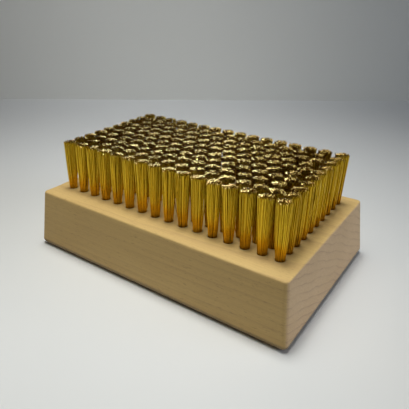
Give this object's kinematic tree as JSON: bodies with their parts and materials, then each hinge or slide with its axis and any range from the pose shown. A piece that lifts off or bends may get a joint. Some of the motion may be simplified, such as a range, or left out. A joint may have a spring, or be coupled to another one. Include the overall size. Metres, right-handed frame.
{
  "type": "block scrub brush",
  "caption": "Hand scrub brush: a rectangular beech block with sloping sides and a flat trimmed field of staggered brass wire tufts, for cleaning and dressing metal surfaces.",
  "frame": {"origin": "centre of the block's grip face, where the brush rests on a bench with its tufts up", "axes": "+X along the block, +Y across it, +Z out of the tufted face"},
  "size_m": [0.1264, 0.0792, 0.049],
  "materials": {
    "beech": "bare sanded beech with fine flecks, grain along the length",
    "brass_wire": "drawn brass wire with bright cut tips",
    "anchor_steel": "plain flat steel wire"
  },
  "bodies": {
    "root": {"anchor_r01_c01": "anchor_steel", "anchor_r01_c02": "anchor_steel", "anchor_r01_c03": "anchor_steel", "anchor_r01_c04": "anchor_steel", "anchor_r01_c05": "anchor_steel", "anchor_r01_c06": "anchor_steel", "anchor_r01_c07": "anchor_steel", "anchor_r01_c08": "anchor_steel", "anchor_r01_c09": "anchor_steel", "anchor_r01_c10": "anchor_steel", "anchor_r01_c11": "anchor_steel", "anchor_r01_c12": "anchor_steel", "anchor_r01_c13": "anchor_steel", "anchor_r01_c14": "anchor_steel", "anchor_r01_c15": "anchor_steel", "anchor_r01_c16": "anchor_steel", "anchor_r02_c16": "anchor_steel", "anchor_r03_c16": "anchor_steel", "anchor_r04_c16": "anchor_steel", "anchor_r05_c16": "anchor_steel", "anchor_r06_c16": "anchor_steel", "anchor_r07_c16": "anchor_steel", "anchor_r08_c16": "anchor_steel", "anchor_r09_c16": "anchor_steel", "anchor_r10_c16": "anchor_steel", "block": "beech", "tuft_r01_c01": "brass_wire", "tuft_r01_c02": "brass_wire", "tuft_r01_c03": "brass_wire", "tuft_r01_c04": "brass_wire", "tuft_r01_c05": "brass_wire", "tuft_r01_c06": "brass_wire", "tuft_r01_c07": "brass_wire", "tuft_r01_c08": "brass_wire", "tuft_r01_c09": "brass_wire", "tuft_r01_c10": "brass_wire", "tuft_r01_c11": "brass_wire", "tuft_r01_c12": "brass_wire", "tuft_r01_c13": "brass_wire", "tuft_r01_c14": "brass_wire", "tuft_r01_c15": "brass_wire", "tuft_r01_c16": "brass_wire", "tuft_r02_c16": "brass_wire", "tuft_r03_c16": "brass_wire", "tuft_r04_c16": "brass_wire", "tuft_r05_c16": "brass_wire", "tuft_r06_c16": "brass_wire", "tuft_r07_c16": "brass_wire", "tuft_r08_c16": "brass_wire", "tuft_r09_c16": "brass_wire", "tuft_r10_c16": "brass_wire", "tuft_row_02": "brass_wire", "tuft_row_03": "brass_wire", "tuft_row_04": "brass_wire", "tuft_row_05": "brass_wire", "tuft_row_06": "brass_wire", "tuft_row_07": "brass_wire", "tuft_row_08": "brass_wire", "tuft_row_09": "brass_wire", "tuft_row_10": "brass_wire"}
  },
  "joints": []
}
